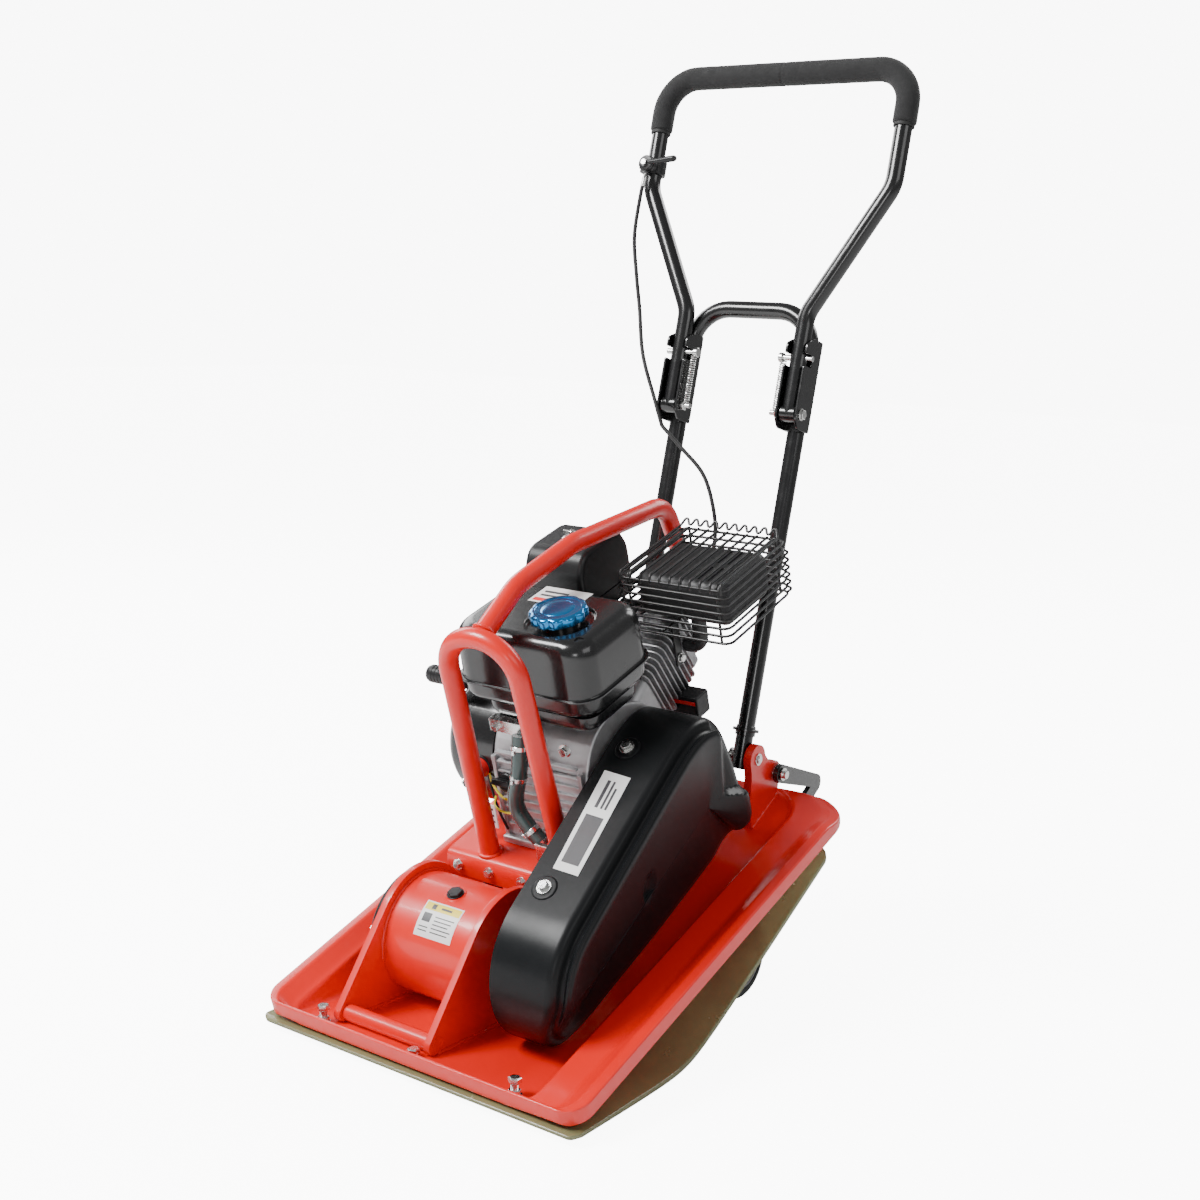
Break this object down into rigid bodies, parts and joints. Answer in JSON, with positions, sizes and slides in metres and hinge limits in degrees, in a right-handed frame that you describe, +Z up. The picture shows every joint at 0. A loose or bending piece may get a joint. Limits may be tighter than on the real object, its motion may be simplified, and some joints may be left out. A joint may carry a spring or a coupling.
{
  "type": "plate compactor",
  "caption": "Forward vibratory plate compactor: petrol engine on rubber mounts, belt-driven eccentric exciter, soft pad, folding handle and swing-down transport wheels.",
  "frame": {"origin": "floor level, under the middle of the parked machine's outline", "axes": "+Z up, +X across the plate towards the belt side, -Y towards the front lip and +Y towards the handle; the machine is stored tipped forward on its wheels"},
  "size_m": [0.5, 0.8148, 1.2871],
  "materials": {
    "red_paint": "gloss powder coat",
    "black_paint": "gloss powder coat",
    "black_plastic": "satin moulded plastic",
    "tank_paint": "gloss black",
    "cast_aluminium": "as cast",
    "zinc": "bright zinc plate",
    "steel": "machined steel",
    "rubber": "matt black",
    "foam": "matt foam",
    "pad_polyurethane": "translucent olive polyurethane",
    "blue_cap": "metallic blue",
    "red_plastic": "gloss red",
    "wire_paint": "heat resisting black"
  },
  "bodies": {
    "chassis": {"base_plate": "red_paint", "polyurethane_pad": "pad_polyurethane", "pad_bolt_left": "zinc", "pad_bolt_middle": "zinc", "pad_bolt_right": "zinc", "exciter_gusset_left": "red_paint", "exciter_gusset_right": "red_paint", "exciter_housing": "red_paint", "exciter_end_cover": "black_plastic", "gusset_tie_rod": "red_paint", "exciter_oil_plug": "rubber", "exciter_bearing_left": "steel", "exciter_bearing_right": "steel", "v_belt": "rubber", "belt_cover": "black_plastic", "cover_bolt_front": "zinc", "cover_bolt_rear": "zinc", "engine_bed": "red_paint", "rubber_mount_front_left": "rubber", "rubber_mount_front_right": "rubber", "rubber_mount_rear_left": "rubber", "rubber_mount_rear_right": "rubber", "lifting_frame": "red_paint", "engine_block": "cast_aluminium", "cylinder_head": "cast_aluminium", "fuel_tank": "tank_paint", "fan_shroud": "black_paint", "recoil_cover": "black_paint", "air_filter_box": "black_plastic", "carburettor": "cast_aluminium", "muffler": "black_paint", "muffler_guard": "wire_paint", "spark_plug_cap": "rubber", "handle_lug_left": "red_paint", "handle_lug_right": "red_paint", "throttle_cable_lower": "rubber"},
    "exciter_rotor": {"exciter_shaft": "steel", "exciter_pulley": "cast_aluminium"},
    "clutch": {"clutch_drum": "steel"},
    "crank": {"crankshaft": "steel", "flywheel": "cast_aluminium"},
    "reel": {"starter_reel": "black_plastic"},
    "starter_grip": {"recoil_grip": "black_plastic"},
    "stop_knob": {"stop_switch": "red_plastic"},
    "cap": {"fuel_cap": "blue_cap"},
    "choke": {"choke_lever": "black_plastic"},
    "fuel_tap": {"fuel_lever": "red_plastic"},
    "handle_lower": {"lower_handle": "black_paint", "fold_bolt_left": "zinc", "fold_bolt_right": "zinc"},
    "handle_upper": {"upper_handle": "black_paint", "foam_grip": "foam", "handle_spring_left": "zinc", "handle_spring_right": "zinc", "throttle_clamp": "black_plastic", "throttle_cable_upper": "rubber"},
    "throttle": {"throttle_lever": "black_plastic"},
    "wheel_kit": {"wheel_frame": "black_paint"},
    "wheel_l": {"wheel_left": "rubber"},
    "wheel_r": {"wheel_right": "rubber"}
  },
  "joints": [
    {"name": "exciter_spin", "type": "hinge", "parent": "chassis", "child": "exciter_rotor", "pos_m": [0, -0.21701, 0.10315], "axis": [1, 0, 0], "continuous": true},
    {"name": "clutch_spin", "type": "hinge", "parent": "chassis", "child": "clutch", "pos_m": [0, -0.03468, 0.33483], "axis": [1, 0, 0], "continuous": true},
    {"name": "crank_spin", "type": "hinge", "parent": "chassis", "child": "crank", "pos_m": [0, -0.03468, 0.33483], "axis": [1, 0, 0], "continuous": true},
    {"name": "starter_pull", "type": "slide", "parent": "chassis", "child": "starter_grip", "axis": [0, -0.3412, 0.94], "range_m": [0, 0.75]},
    {"name": "reel_spin", "type": "hinge", "parent": "chassis", "child": "reel", "pos_m": [0, -0.03468, 0.33483], "axis": [1, 0, 0], "range_deg": [-800, 0]},
    {"name": "stop_turn", "type": "hinge", "parent": "chassis", "child": "stop_knob", "pos_m": [-0.122, -0.12641, 0.31133], "axis": [0, -0.9511, -0.309], "range_deg": [0, 60]},
    {"name": "cap_turn", "type": "hinge", "parent": "chassis", "child": "cap", "pos_m": [0.007, -0.13482, 0.53624], "axis": [0, -0.309, 0.9511], "range_deg": [0, 90]},
    {"name": "choke_turn", "type": "hinge", "parent": "chassis", "child": "choke", "pos_m": [-0.1255, 0.09627, 0.5046], "axis": [-1, 0, 0], "range_deg": [0, 50]},
    {"name": "fuel_turn", "type": "hinge", "parent": "chassis", "child": "fuel_tap", "pos_m": [-0.1255, 0.11234, 0.45515], "axis": [-1, 0, 0], "range_deg": [0, 40]},
    {"name": "handle_tilt", "type": "hinge", "parent": "chassis", "child": "handle_lower", "pos_m": [0, 0.1915, 0.30212], "axis": [1, 0, 0], "range_deg": [0, 10], "deforming": ["throttle_cable_lower"]},
    {"name": "handle_fold", "type": "hinge", "parent": "handle_lower", "child": "handle_upper", "pos_m": [0, 0.27756, 0.78729], "axis": [1, 0, 0], "range_deg": [0, 108], "deforming": ["throttle_cable_upper"]},
    {"name": "throttle_turn", "type": "hinge", "parent": "handle_upper", "child": "throttle", "pos_m": [-0.201, 0.33686, 1.14212], "axis": [0, -0.9736, 0.2284], "range_deg": [0, 75]},
    {"name": "wheel_fold", "type": "hinge", "parent": "chassis", "child": "wheel_kit", "pos_m": [0, 0.24345, 0.27168], "axis": [1, 0, 0], "range_deg": [0, 150]},
    {"name": "wheel_left_spin", "type": "hinge", "parent": "wheel_kit", "child": "wheel_l", "pos_m": [-0.1735, 0.07169, 0.056], "axis": [1, 0, 0], "continuous": true},
    {"name": "wheel_right_spin", "type": "hinge", "parent": "wheel_kit", "child": "wheel_r", "pos_m": [0.1735, 0.07169, 0.056], "axis": [1, 0, 0], "continuous": true}
  ],
  "couplings": [
    {"joint": "clutch_spin", "follows": "exciter_spin", "ratio": 0.8},
    {"joint": "reel_spin", "follows": "starter_pull", "rad_per_m": -17.857}
  ]
}
